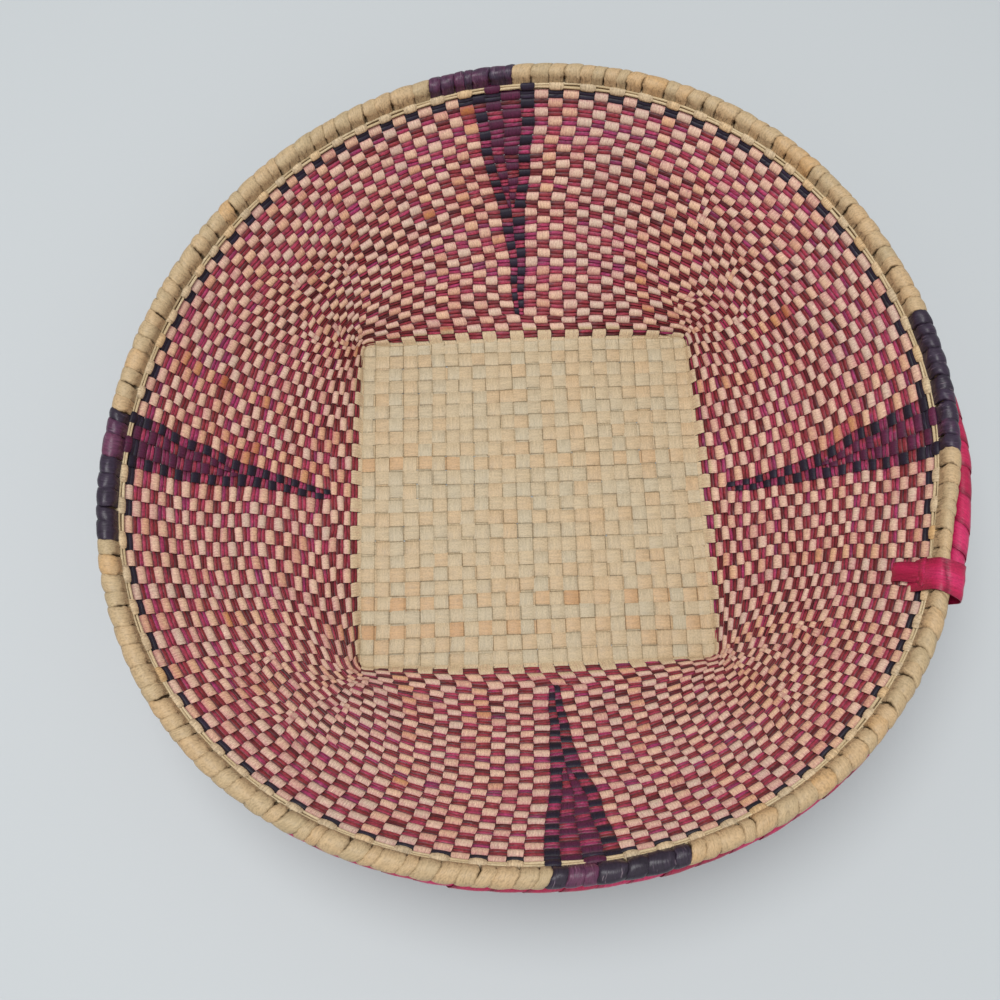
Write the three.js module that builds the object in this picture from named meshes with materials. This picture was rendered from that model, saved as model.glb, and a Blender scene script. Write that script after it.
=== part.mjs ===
// A round, shallow wall basket woven of palm strip on a square plaited base mat, with a bound rim.
// Millimetres, +Z up. The origin is the middle of the base mat's underside.
import * as THREE from "three";

// Overall sizes
const rimDiameter = 420; // across the rim roll
const basketHeight = 111; // from the table to the top of the rim roll
const baseSide = 196;
const baseCornerRadius = 6;
const wallCornerRadius = 40; // the base's corner as the upper wall follows it
const cornerFadeShare = 0.8; // how far up the wall the corner has opened to that radius
const clearance = 0.3; // between one piece and the next

// Woven sheet
const matThickness = 1.6;
const wallThickness = 1.6;
const stakeEndThickness = 0.6;
const darkWeftHeight = 4.4;
const darkWeftThickness = 0.6;

// Border of two rods with every second stake end turned over them
const rodDiameter = 1.8;
const turnsPerPanel = 19;
const turnsPerWedge = 2;
const turnEdges = [0, 0.2, 0.8]; // between two ends, and a turned end's sides, as shares of its pitch

// Rim roll
const coreDiameter = 8.8;
const wrapThickness = 0.5;
const wrapRidge = 0.4; // height of a wrap's back over the seam between two wraps
const wrapPitch = 13;
const wrapLean = 3.5; // how far a wrap travels along the rim in half a turn

// Hoop under the outside of the rim, and the strap that ties it on
const hoopCaneDiameter = 6;
const hoopWrapThickness = 0.7;
const hoopOverhang = 3.4; // hoop's centre beyond the rim roll's centre
const hoopSpring = { reach: 7.8, at: -9, spread: 19 }; // where the hoop springs clear of the rim
const strapAngle = -23.5;
const strapWidth = { inside: 10, overRim: 15 };
const strapThickness = 0.7;
const strapReach = 25; // down the inside of the wall
const strapReturn = 19; // down the outside

// How far the rim is out of round: so many lobes of this reach, the first at this angle
const rimLobes = [
  { lobes: 1, reach: 2, at: 205 },
  { lobes: 2, reach: 5, at: 64 },
  { lobes: 3, reach: 3.3, at: -39 },
  { lobes: 4, reach: 1.7, at: 43 },
];

// Wedges of dyed stakes, one to a side: the angle of the tip, and of the middle at the rim
const wedges = [
  { name: "east", tip: -1.9, top: -1.1 },
  { name: "north", tip: 90.5, top: 92 },
  { name: "west", tip: 180.1, top: 179.2 },
  { name: "south", tip: 272, top: 273.7 },
];
const wedgeTipShare = 0.1; // how far up the wall a wedge begins
const wedgeTipWidth = 1;
const wedgeTopWidth = 34;

// Dyed lengths of the rim's wrapping, one to a wedge in the same order: how far along its top edge
// each begins, and how far it runs on past the far corner
const dyedWraps = [
  { lag: 6.8, overrun: 48.5 },
  { lag: 8.5, overrun: 21.4 },
  { lag: 5.3, overrun: 34.2 },
  { lag: 4.3, overrun: 31 },
];

// Facets
const ringSteps = 72;
const rodSteps = 60;
const hoopSteps = 66;
const panelColumns = 8; // from a wedge to the base corner
const cornerCrowding = 1.5; // columns lie closer at a base corner, and evenly at the rim
const wallLevels = [0, 0.088, wedgeTipShare, 0.35, 0.6, 0.8, 1];
const rodSides = 5;
const hoopSides = 6;
const rollSides = 7;

// Sizes that follow
const rollRadius = coreDiameter / 2 + clearance + wrapThickness + wrapRidge;
const rollHeight = basketHeight - rollRadius;
const wallTop = rollRadius + clearance; // down the wall from the roll's centre
const wallFace = wallThickness / 2;
const borderFace = wallFace + clearance;
const rodRadius = rodDiameter / 2;
const rodInward = borderFace + rodRadius;
const upperRodDown = wallTop + stakeEndThickness + clearance + rodRadius;
const lowerRodDown = upperRodDown + rodDiameter + clearance;
const endsBottom = lowerRodDown + rodRadius + clearance;
const endsFold = wallTop + 2 * stakeEndThickness; // as far as the fold reaches between two ends
const turnFace = rodInward + rodRadius + clearance;
const turnBack = turnFace + stakeEndThickness;
const darkWeftTop = endsBottom + clearance;
const darkWeftBottom = darkWeftTop + darkWeftHeight;
const darkWeftBack = borderFace + darkWeftThickness;
const hoopRadius = hoopCaneDiameter / 2 + clearance + hoopWrapThickness;
const hoopReach = rollRadius + hoopRadius + clearance;
const hoopDrop = Math.sqrt(hoopReach ** 2 - hoopOverhang ** 2);

const palette = {
  natural: { color: 0xd6bd92, roughness: 0.72 },
  stakes: { color: 0xd9b793, roughness: 0.75 },
  magenta: { color: 0xb22a5e, roughness: 0.6 },
  purple: { color: 0x3c1e3a, roughness: 0.55 },
  aubergine: { color: 0x54304c, roughness: 0.5 },
  darkWeft: { color: 0x33243f, roughness: 0.65 },
  rods: { color: 0xcfb887, roughness: 0.6 },
  core: { color: 0xb89a68, roughness: 0.85 },
};

const radians = THREE.MathUtils.degToRad;
const degrees = THREE.MathUtils.radToDeg;
const mix = THREE.MathUtils.lerp;

// Shape of the basket

// From the basket's axis to the rim roll's centre
function rimRadius(angle) {
  let radius = rimDiameter / 2 - rollRadius;
  for (const { lobes, reach, at } of rimLobes) {
    radius += reach * Math.cos(radians(lobes * (angle - at)));
  }
  return radius;
}

// From the middle of the base to its edge: a square with round corners
function baseRadius(angle, cornerRadius) {
  const quarter = THREE.MathUtils.euclideanModulo(angle, 90);
  const fold = radians(Math.min(quarter, 90 - quarter));
  const half = baseSide / 2;
  const centre = half - cornerRadius;
  if (half * Math.tan(fold) <= centre) return half / Math.cos(fold);
  const along = centre * (Math.cos(fold) + Math.sin(fold));
  const across = centre * (Math.cos(fold) - Math.sin(fold));
  return along + Math.sqrt(cornerRadius ** 2 - across ** 2);
}

// The wall's line in one upright plane through the axis; its foot leaves the corner as it climbs
function wallLine(angle, share) {
  const opened = Math.min(1, share / cornerFadeShare);
  const foot = baseRadius(angle, mix(baseCornerRadius, wallCornerRadius, opened));
  const head = rimRadius(angle);
  const slope = Math.atan2(rollHeight, head - foot);
  return { foot, head, slope, length: Math.hypot(rollHeight, head - foot) };
}

function upright(angle, radius, height) {
  return new THREE.Vector3(
    radius * Math.cos(radians(angle)),
    radius * Math.sin(radians(angle)),
    height,
  );
}

// A place near the rim: so far down the wall from the roll's centre, and so far in from the wall
function nearRim(angle, down, inward) {
  const { head, slope } = wallLine(angle, 1);
  const radius = head - down * Math.cos(slope) - inward * Math.sin(slope);
  return upright(angle, radius, rollHeight - down * Math.sin(slope) + inward * Math.cos(slope));
}

// A place on the wall: a share of the way up from the table, and so far in from its middle
function onWall(angle, share, inward) {
  const { foot, slope, length } = wallLine(angle, share);
  const climb = mix(-inward / Math.tan(slope), length - wallTop, share);
  const radius = foot + climb * Math.cos(slope) - inward * Math.sin(slope);
  return upright(angle, radius, climb * Math.sin(slope) + inward * Math.cos(slope));
}

// The angle, at a place on the rim, that a length along it takes
const rimDegrees = (length, angle) => degrees(length / rimRadius(angle));

function hoopPoint(angle, out, up) {
  const away = THREE.MathUtils.euclideanModulo(angle - hoopSpring.at + 180, 360) - 180;
  const spring = hoopSpring.reach * Math.exp(-((away / hoopSpring.spread) ** 4));
  const radius = rimRadius(angle) + hoopOverhang + spring + out;
  return upright(angle, radius, rollHeight - hoopDrop + up);
}

// The edge of a wedge, or of the panel beside it, at a share of the way up
function wedgeEdge(wedge, share, side, gap) {
  const { foot, head } = wallLine(wedge.top, share);
  const up = (share - wedgeTipShare) / (1 - wedgeTipShare);
  const started = up >= 0;
  const half = started ? mix(wedgeTipWidth, wedgeTopWidth, up) / 2 + gap : clearance / 2;
  const middle = mix(wedge.tip, wedge.top, Math.max(up, 0));
  return middle + side * degrees(half / mix(foot, head, share));
}

// Solids

function solidGeometry(points, faces) {
  const geometry = new THREE.BufferGeometry().setFromPoints(points);
  let volume = 0;
  for (let i = 0; i < faces.length; i += 3) {
    const [a, b, c] = [points[faces[i]], points[faces[i + 1]], points[faces[i + 2]]];
    volume += a.dot(b.clone().cross(c));
  }
  geometry.setIndex(volume < 0 ? faces.reverse() : faces);
  geometry.computeVertexNormals();
  return geometry;
}

function addSkin(faces, columns, around, start, closed, turned) {
  const bands = closed ? columns : columns - 1;
  for (let column = 0; column < bands; column++) {
    const here = start + column * around;
    const next = start + ((column + 1) % columns) * around;
    for (let k = 0; k < around; k++) {
      const k2 = (k + 1) % around;
      const quad = [here + k, next + k, next + k2, here + k, next + k2, here + k2];
      faces.push(...(turned ? quad.reverse() : quad));
    }
  }
}

// A closed outline carried along a row of columns; place(column, x, y) puts its points.
// An end is closed rung by rung, so the outline's second half runs back beside its first.
function loft(columns, outline, place, closed = false) {
  const points = [];
  const around = outline.length;
  for (let column = 0; column < columns; column++) {
    for (const [x, y] of outline) points.push(place(column, x, y));
  }
  const faces = [];
  addSkin(faces, columns, around, 0, closed, false);
  const last = (columns - 1) * around;
  const rungs = closed ? 0 : around / 2 - 1;
  for (let i = 0; i < rungs; i++) {
    const back = around - 1 - i;
    const rung = [i, i + 1, back - 1, i, back - 1, back];
    faces.push(...rung, ...rung.map((k) => last + k).reverse());
  }
  return solidGeometry(points, faces);
}

// An open-ended tube: place(angle, turn, isOuter) puts a point of its outer or inner skin
function sleeve(outerAngles, innerAngles, sides, place) {
  const points = [];
  const faces = [];
  for (const angle of outerAngles) {
    for (let k = 0; k < sides; k++) points.push(place(angle, k / sides, true));
  }
  const inner = points.length;
  for (const angle of innerAngles) {
    for (let k = 0; k < sides; k++) points.push(place(angle, k / sides, false));
  }
  addSkin(faces, outerAngles.length, sides, 0, false, false);
  addSkin(faces, innerAngles.length, sides, inner, false, true);
  const outerEnd = (outerAngles.length - 1) * sides;
  const innerEnd = inner + (innerAngles.length - 1) * sides;
  for (let k = 0; k < sides; k++) {
    const k2 = (k + 1) % sides;
    faces.push(k, k2, inner + k2, k, inner + k2, inner + k);
    faces.push(outerEnd + k, innerEnd + k2, outerEnd + k2);
    faces.push(outerEnd + k, innerEnd + k, innerEnd + k2);
  }
  return solidGeometry(points, faces);
}

function polygon(sides, radius) {
  return Array.from({ length: sides }, (_, k) => {
    const around = radians((k + 0.5) * (360 / sides));
    return [radius * Math.cos(around), radius * Math.sin(around)];
  });
}

function spread(from, to, count) {
  return Array.from({ length: count + 1 }, (_, i) => mix(from, to, i / count));
}

function piece(name, geometry, finish) {
  const mesh = new THREE.Mesh(geometry, new THREE.MeshStandardMaterial({ metalness: 0, ...finish }));
  mesh.name = name;
  return mesh;
}

function assembly(...pieces) {
  const group = new THREE.Group();
  group.add(...pieces);
  return group;
}

// Base mat: its edge is cut to the slope of the wall

function baseMat() {
  const outline = [];
  const corner = spread(0, 1, 4).map((x) => 45 * (1 - (1 - x) ** cornerCrowding));
  for (let side = 0; side < 4; side++) {
    for (const step of corner.slice(0, -1)) outline.push(90 * side + step);
    for (const step of corner.slice(1).reverse()) outline.push(90 * (side + 1) - step);
  }
  const edge = (angle, height) => {
    const { foot, slope } = wallLine(angle, 0);
    const gap = (wallFace + clearance) / Math.sin(slope);
    return upright(angle, foot - gap + height / Math.tan(slope), height);
  };
  const points = [new THREE.Vector3(), new THREE.Vector3(0, 0, matThickness)];
  for (const angle of outline) points.push(edge(angle, 0), edge(angle, matThickness));
  const faces = [];
  outline.forEach((_, i) => {
    const a = 2 + 2 * i;
    const b = 2 + 2 * ((i + 1) % outline.length);
    faces.push(0, b, a, 1, a + 1, b + 1, a, b, b + 1, a, b + 1, a + 1);
  });
  return piece("base_mat", solidGeometry(points, faces), palette.natural);
}

// Wall: four natural panels over the base corners and four dyed wedges between them

function wallOutline(levels) {
  const outer = levels.map((share) => [share, -wallFace]);
  const inner = levels.map((share) => [share, wallFace]).reverse();
  return [...outer, ...inner];
}

function wallPanel(side) {
  const wedge = wedges[side];
  const nextWedge = wedges[(side + 1) % wedges.length];
  const corner = 90 * side + 45;
  const place = (column, share, inward) => {
    const start = wedgeEdge(wedge, share, 1, clearance);
    const turnOn = nextWedge.tip < wedge.tip ? 360 : 0;
    const end = wedgeEdge(nextWedge, share, -1, clearance) + turnOn;
    const fromCorner = (column - panelColumns) / panelColumns;
    const ease = Math.abs(fromCorner) ** mix(cornerCrowding, 1, share);
    return onWall(mix(corner, fromCorner < 0 ? start : end, ease), share, inward);
  };
  const geometry = loft(2 * panelColumns + 1, wallOutline(wallLevels), place);
  return piece(`wall_panel_${wedge.name}_${nextWedge.name}`, geometry, palette.stakes);
}

function wedgePanel(wedge) {
  const levels = wallLevels.filter((share) => share >= wedgeTipShare);
  const place = (column, share, inward) => {
    const side = column - 1;
    return onWall(wedgeEdge(wedge, share, side, 0), share, inward);
  };
  return piece(`dyed_wedge_${wedge.name}`, loft(3, wallOutline(levels), place), palette.purple);
}

// Top weft: one band below the border rods

function topWeft() {
  const outline = [
    [darkWeftTop, borderFace],
    [darkWeftBottom, borderFace],
    [darkWeftBottom, darkWeftBack],
    [darkWeftTop, darkWeftBack],
  ];
  const place = (column, down, inward) => nearRim((360 / ringSteps) * column, down, inward);
  return piece("top_weft", loft(ringSteps, outline, place, true), palette.darkWeft);
}

// Border rods and the stake ends turned over them

function borderRod(name, down) {
  const outline = polygon(rodSides, rodRadius);
  const place = (column, x, y) => nearRim((360 / rodSteps) * column, down + x, rodInward + y);
  return piece(name, loft(rodSteps, outline, place, true), palette.rods);
}

// A run of stake ends: they fold in over the upper rod, and each hangs down over both
function turnedEnds(name, from, to, count, finish) {
  const foldBottom = wallTop + stakeEndThickness;
  const outline = [
    [wallTop, borderFace],
    [wallTop, turnBack],
    [endsBottom, turnBack],
    [endsBottom, turnFace],
    [foldBottom, turnFace],
    [foldBottom, borderFace],
  ];
  const columns = count * turnEdges.length + 1;
  const place = (column, down, inward) => {
    const edge = column % turnEdges.length;
    const along = Math.floor(column / turnEdges.length) + turnEdges[edge];
    const reach = edge === 0 && down === endsBottom ? endsFold : down;
    return nearRim(mix(from, to, along / count), reach, inward);
  };
  return piece(name, loft(columns, outline, place), finish);
}

function borderEnds() {
  const gap = rimDegrees(clearance / 2, 0);
  return wedges.flatMap((wedge, side) => {
    const nextWedge = wedges[(side + 1) % wedges.length];
    const turnOn = nextWedge.tip < wedge.tip ? 360 : 0;
    const low = wedgeEdge(wedge, 1, -1, 0);
    const high = wedgeEdge(wedge, 1, 1, 0);
    const next = wedgeEdge(nextWedge, 1, -1, 0) + turnOn;
    const names = [`turned_ends_${wedge.name}`, `turned_ends_${wedge.name}_${nextWedge.name}`];
    return [
      turnedEnds(names[0], low + gap, high - gap, turnsPerWedge, palette.purple),
      turnedEnds(names[1], high + gap, next - gap, turnsPerPanel, palette.stakes),
    ];
  });
}

// Rim roll: a round core in eight lengths of strip, wound with a lean

function rimCore() {
  const outline = polygon(rollSides, coreDiameter / 2);
  const place = (column, x, y) => nearRim((360 / ringSteps) * column, x, y);
  return piece("rim_core", loft(ringSteps, outline, place, true), palette.core);
}

function rimWrap(name, from, to, finish) {
  const length = radians(to - from) * rimRadius((from + to) / 2);
  const seams = Math.max(1, Math.round(length / wrapPitch));
  const outer = spread(from, to, 2 * seams);
  const inner = spread(from, to, Math.max(2, Math.ceil((to - from) / (360 / ringSteps))));
  const place = (angle, share, isOuter) => {
    const around = 360 * share + 180 / rollSides;
    const seam = Math.round(((angle - from) / (to - from)) * 2 * seams) % 2 === 0;
    const outside = rollRadius - (seam ? wrapRidge : 0);
    const radius = isOuter ? outside : coreDiameter / 2 + clearance;
    const atEnd = angle === from || angle === to;
    const lean = isOuter && !atEnd ? rimDegrees(wrapLean, angle) * Math.sin(radians(around)) : 0;
    const x = radius * Math.cos(radians(around));
    const y = radius * Math.sin(radians(around));
    return nearRim(angle + lean / 2, x, y);
  };
  return piece(name, sleeve(outer, inner, rollSides, place), finish);
}

function rimWraps() {
  const gap = rimDegrees(clearance / 2, 0);
  const begin = (side) => {
    const edge = wedgeEdge(wedges[side], 1, -1, 0);
    return edge + rimDegrees(dyedWraps[side].lag, edge);
  };
  return wedges.flatMap((wedge, side) => {
    const nextSide = (side + 1) % wedges.length;
    const farEdge = wedgeEdge(wedge, 1, 1, 0);
    const end = farEdge + rimDegrees(dyedWraps[side].overrun, farEdge);
    const turnOn = wedges[nextSide].tip < wedge.tip ? 360 : 0;
    const next = begin(nextSide) + turnOn;
    const name = `rim_wrap_${wedge.name}_${wedges[nextSide].name}`;
    return [
      rimWrap(`dyed_wrap_${wedge.name}`, begin(side) + gap, end - gap, palette.aubergine),
      rimWrap(name, end + gap, next - gap, palette.natural),
    ];
  });
}

// Outer hoop: a cane, its wrapping with both ends at the splice, and the strap round it all

function hoopCane() {
  const outline = polygon(hoopSides, hoopCaneDiameter / 2);
  const angles = spread(strapAngle, strapAngle + 360, hoopSteps);
  const place = (column, x, y) => hoopPoint(angles[column], x, y);
  return piece("outer_hoop_cane", loft(hoopSteps, outline, place, true), palette.core);
}

function hoopWrap() {
  const splice = rimDegrees(clearance, strapAngle);
  const angles = spread(strapAngle, strapAngle + 360, hoopSteps);
  angles[0] += splice;
  angles[hoopSteps] -= splice;
  const place = (angle, share, isOuter) => {
    const around = radians(360 * share + 180 / hoopSides);
    const radius = isOuter ? hoopRadius : hoopCaneDiameter / 2 + clearance;
    return hoopPoint(angle, radius * Math.cos(around), radius * Math.sin(around));
  };
  return piece("outer_hoop_wrap", sleeve(angles, angles, hoopSides, place), palette.magenta);
}

// The strap's path in the rim's frame: up the inside, over the border and roll, round the hoop
function strapPath(angle) {
  const { slope } = wallLine(angle, 1);
  const lift = clearance + strapThickness / 2;
  const hoop = hoopPoint(angle, 0, 0);
  const out = Math.hypot(hoop.x, hoop.y) - rimRadius(angle);
  const fall = hoop.z - rollHeight;
  const centre = [
    -out * Math.cos(slope) - fall * Math.sin(slope),
    -out * Math.sin(slope) + fall * Math.cos(slope),
  ];
  const roll = rollRadius + lift;
  const hoopTurn = hoopRadius + lift;
  const apart = Math.hypot(...centre);
  const across = Math.atan2(centre[1], centre[0]);
  const leave = across - Math.acos((roll - hoopTurn) / apart) + 2 * Math.PI;
  const end = [strapReturn, -wallFace - lift];
  const toEnd = [end[0] - centre[0], end[1] - centre[1]];
  const meet = Math.atan2(toEnd[1], toEnd[0]) - Math.acos(hoopTurn / Math.hypot(...toEnd));
  const over = [wallTop, turnBack + lift];
  const land = Math.atan2(over[1], over[0]) + Math.acos(roll / Math.hypot(...over));
  const arc = (middle, radius, from, to, steps) =>
    spread(from, to, steps).map((a) => [
      middle[0] + radius * Math.cos(a),
      middle[1] + radius * Math.sin(a),
    ]);
  return [
    [strapReach, wallFace + lift],
    [darkWeftBottom + 2, wallFace + lift],
    [darkWeftBottom, darkWeftBack + lift],
    [darkWeftTop + 1, darkWeftBack + lift],
    [endsBottom, turnBack + lift],
    over,
    ...arc([0, 0], roll, land, leave, 6),
    ...arc(centre, hoopTurn, leave, meet + 2 * Math.PI, 4),
    end,
  ];
}

// Both sides of a bent strip, as one closed outline
function stripOutline(path, thickness) {
  const sides = [[], []];
  path.forEach(([x, y], i) => {
    const before = path[Math.max(i - 1, 0)];
    const after = path[Math.min(i + 1, path.length - 1)];
    const run = new THREE.Vector2(after[0] - before[0], after[1] - before[1]).normalize();
    sides[0].push([x - (run.y * thickness) / 2, y + (run.x * thickness) / 2]);
    sides[1].unshift([x + (run.y * thickness) / 2, y - (run.x * thickness) / 2]);
  });
  return [...sides[0], ...sides[1]];
}

// The hoop springs out unevenly under the strap, so its edges and middle each follow their own path
function lashingStrap() {
  const columns = [-0.5, 0, 0.5];
  const outlines = columns.map((side) => {
    const angle = strapAngle + rimDegrees(side * strapWidth.overRim, strapAngle);
    return stripOutline(strapPath(angle), strapThickness);
  });
  const corners = outlines[0].map((_, corner) => [corner]);
  const place = (column, corner) => {
    const [x, y] = outlines[column][corner];
    const overRim = THREE.MathUtils.smoothstep(-x, -endsBottom, 0);
    const width = mix(strapWidth.inside, strapWidth.overRim, overRim);
    return nearRim(strapAngle + rimDegrees(columns[column] * width, strapAngle), x, y);
  };
  return piece("lashing_strap", loft(columns.length, corners, place), palette.magenta);
}

const wall = assembly(...wedges.map((_, side) => wallPanel(side)), ...wedges.map(wedgePanel));
const border = assembly(
  topWeft(),
  borderRod("border_rod_upper", upperRodDown),
  borderRod("border_rod_lower", lowerRodDown),
  ...borderEnds(),
);
const rim = assembly(rimCore(), ...rimWraps());
const hoop = assembly(hoopCane(), hoopWrap(), lashingStrap());
const basket = assembly(baseMat(), wall, border, rim, hoop);

export default basket;
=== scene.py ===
# A round palm-strip wall basket: a plaited base, woven walls with dyed wedges, and a bound rim.
# Metres and degrees, +Z up. Stakes are the upright strips, wefts the strands that go round.
import bpy
import numpy as np
from mathutils import Matrix, Vector


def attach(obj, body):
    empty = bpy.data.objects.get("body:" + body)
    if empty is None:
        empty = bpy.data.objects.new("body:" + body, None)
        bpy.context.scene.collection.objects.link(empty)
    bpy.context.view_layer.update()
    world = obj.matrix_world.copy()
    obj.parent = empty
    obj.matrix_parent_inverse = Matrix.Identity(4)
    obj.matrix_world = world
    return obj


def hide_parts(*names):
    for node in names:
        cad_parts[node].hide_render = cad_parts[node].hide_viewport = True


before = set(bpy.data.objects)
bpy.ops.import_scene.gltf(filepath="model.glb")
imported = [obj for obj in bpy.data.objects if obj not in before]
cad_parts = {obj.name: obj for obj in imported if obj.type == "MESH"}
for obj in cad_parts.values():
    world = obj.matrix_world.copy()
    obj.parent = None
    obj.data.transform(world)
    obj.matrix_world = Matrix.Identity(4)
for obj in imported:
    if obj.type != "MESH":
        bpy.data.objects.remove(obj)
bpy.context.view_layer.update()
bpy.ops.object.select_all(action="DESELECT")
scene = bpy.context.scene
print("frame loaded")

# Shape of the basket: its wall bows out between base and rim, further than the solids' wall does

basket = {
    "rimRadius": 0.2058,  # to the middle of the rim roll
    "rimLobes": [(1, 0.002, 205), (2, 0.005, 64), (3, 0.0033, -39), (4, 0.0017, 43)],
    "rimBulges": [(0.0028, 8, 18), (-0.0016, -16, 8)],  # reach, at, spread: out, and in beside the strap
    "rollHeight": 0.1054,
    "baseHalf": 0.098,
    "baseCorner": 0.0035,
    "wallCorner": 0.040,
    "cornerFade": 0.8,  # how far up a corner's rounding still widens
    "wallTop": 0.0046,  # down from the roll's middle to where the wall ends
    "belly": 0.16,  # how far the wall leans off its chord at the rim, as a tangent; none at a corner
    "bellyTop": 0.8,  # how far up its curve ends
}


def turnFrom(angle, at):  # degrees from one bearing to another, the short way round
    return np.mod(np.asarray(angle) - at + 180, 360) - 180


def rimRadius(angle):
    radius = np.full_like(np.asarray(angle, float), basket["rimRadius"])
    for lobes, reach, at in basket["rimLobes"]:
        radius = radius + reach * np.cos(np.radians(lobes * (angle - at)))
    for reach, at, spread in basket["rimBulges"]:
        radius = radius + reach * np.exp(-(turnFrom(angle, at) / spread) ** 2)
    return radius


def baseRadius(angle, corner):
    quarter = np.mod(angle, 90)
    fold = np.radians(np.minimum(quarter, 90 - quarter))
    half = basket["baseHalf"]
    centre = half - corner
    along = centre * (np.cos(fold) + np.sin(fold))
    across = centre * (np.cos(fold) - np.sin(fold))
    rounded = along + np.sqrt(np.maximum(corner**2 - across**2, 0))
    return np.where(half * np.tan(fold) <= centre, half / np.cos(fold), rounded)


def mix(a, b, share):
    return a + (b - a) * share


def smooth(x):
    x = np.clip(x, 0, 1)
    return x * x * (3 - 2 * x)


def wallLine(angle, share):
    opened = np.clip(share / basket["cornerFade"], 0, 1)
    foot = baseRadius(angle, mix(basket["baseCorner"], basket["wallCorner"], opened))
    head = rimRadius(angle)
    slope = np.arctan2(basket["rollHeight"], head - foot)
    return foot, head, slope, np.hypot(basket["rollHeight"], head - foot)


def upright(angle, radius, height):
    turn = np.radians(angle)
    return np.stack(np.broadcast_arrays(radius * np.cos(turn), radius * np.sin(turn), height), -1)


def cornerness(angle):
    return np.sin(np.radians(2 * angle)) ** 4


# How far the wall stands out from its chord at a share of the way up, and how steeply it leaves it
def belly(angle, share):
    lean = basket["belly"] * (1 - cornerness(angle) ** 2)
    top = basket["bellyTop"]
    start, fall = (2 - top) / top, 1 / top**2
    out = np.where(share < top, start * share - fall * share**2, 1 - share)
    rise = np.where(share < top, start - 2 * fall * share, -1.0)
    return lean * out, lean * rise


def wallSlope(angle, share):
    return wallLine(angle, share)[2] - np.arctan(belly(angle, share)[1])


# A place beside the rim: so far down the wall from the roll's middle, and so far inward from the wall
def nearRim(angle, down, inward):
    head, slope = rimRadius(angle), wallSlope(angle, 1.0)
    radius = head - down * np.cos(slope) - inward * np.sin(slope)
    height = basket["rollHeight"] - down * np.sin(slope) + inward * np.cos(slope)
    return upright(angle, radius, height)


# The weave: levels count weft rows, so 0 is the first row's middle, -1 the base's edge,
# topRow the dark row under the border, and topRow + 1 the pair of rods

weave = {
    "topRow": 29,
    "foot": 0.0011,  # where the stakes start, up the wall
    "firstRow": 0.0054,
    "firstRowAtCorner": 0.0036,
    "topRowDown": 0.0113,
    "borderPitch": 0.0044,
    "cornerDip": 0.22,  # how far the rows sag over a base corner
    "wedgeHalf": 2,  # stakes in half a wedge, and in half a side
    "sideHalf": 12,
    "pairRows": [11, 3, 15, 2, 8, 19, 5],  # the row where each added pair begins, along a corner
    "plumRow": 16,  # where a wedge's two middle stakes begin
    "stakeRise": 0.00088,
    "stakeCup": 0.00018,
    "stakeThickness": 0.00042,
    "stakeTrim": 0.11,  # how much narrower a stake is where it dives between two rows
    "weftRise": 0.00020,
    "seed": 11,
}
wedges = [
    {"name": "east", "tip": -1.9, "top": -1.3, "tipRow": 3, "widen": 1.30},
    {"name": "north", "tip": 91.2, "top": 93.2, "tipRow": 3, "widen": 1.35},
    {"name": "west", "tip": 180.1, "top": 179.2, "tipRow": 4, "widen": 1.0},
    {"name": "south", "tip": 273.7, "top": 273.3, "tipRow": 3, "widen": 1.24},
]
quarterStakes = 2 * (weave["wedgeHalf"] + weave["sideHalf"] + len(weave["pairRows"]))
stakeCount = 4 * quarterStakes
rowCount = weave["topRow"] + 3
chance = np.random.default_rng(weave["seed"])
stakeChance = chance.uniform(-1, 1, (stakeCount, 4))


def rowShare(angle, level):
    run = wallLine(angle, 1.0)[3] - basket["wallTop"]
    first = mix(weave["firstRow"], weave["firstRowAtCorner"], cornerness(angle) ** 12) / run
    last = 1 - (weave["topRowDown"] - basket["wallTop"]) / run
    part = level / weave["topRow"]
    squeezed = cornerness(angle) ** (1 + 11 * (1 - np.clip(part, 0, 1)) ** 4)
    dipped = part * (1 - weave["cornerDip"] * squeezed * (1 - part))
    between = first + (last - first) * dipped
    below = first + level * (first - weave["foot"] / run)
    above = last + (level - weave["topRow"]) * weave["borderPitch"] / run
    return np.where(level < 0, below, np.where(level > weave["topRow"], above, between))


# Hand-woven rows and stakes wander a little; the base's edge and the border stay true
wander = {
    "rows": [(0.16, 3, 0.21, 0.4), (0.13, 7, -0.37, 2.1), (0.09, 13, 0.83, 4.0), (0.07, 29, -1.3, 1.2)],
    "stakes": [(0.22, 4, 0.33, 1.0), (0.12, 9, -0.7, 3.1), (0.09, 21, 1.1, 5.2)],
}


def wobble(waves, angle, level):
    held = smooth(level / 3) * smooth((weave["topRow"] - 1 - level) / 4)
    turn = np.radians(angle)
    return held * sum(reach * np.sin(turns * turn + climb * level + start)
                      for reach, turns, climb, start in waves)


# A place on the wall at a bearing and a level, so far inward from it, with the wandering added
def onWall(angle, level, inward):
    drift = wobble(wander["stakes"], angle, level)
    level = level + wobble(wander["rows"], angle, level)
    angle = angle + drift
    share = rowShare(angle, level)
    foot, _, slope, length = wallLine(angle, share)
    climb = share * (length - basket["wallTop"])
    out, rise = belly(angle, climb / length)
    out = out * length
    local = slope - np.arctan(rise)
    radius = foot + climb * np.cos(slope) + out * np.sin(slope) - inward * np.sin(local)
    return upright(angle, radius, climb * np.sin(slope) - out * np.cos(slope) + inward * np.cos(local))


# Each stake's kind, its first row, and how wide it is beside its neighbours

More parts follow.
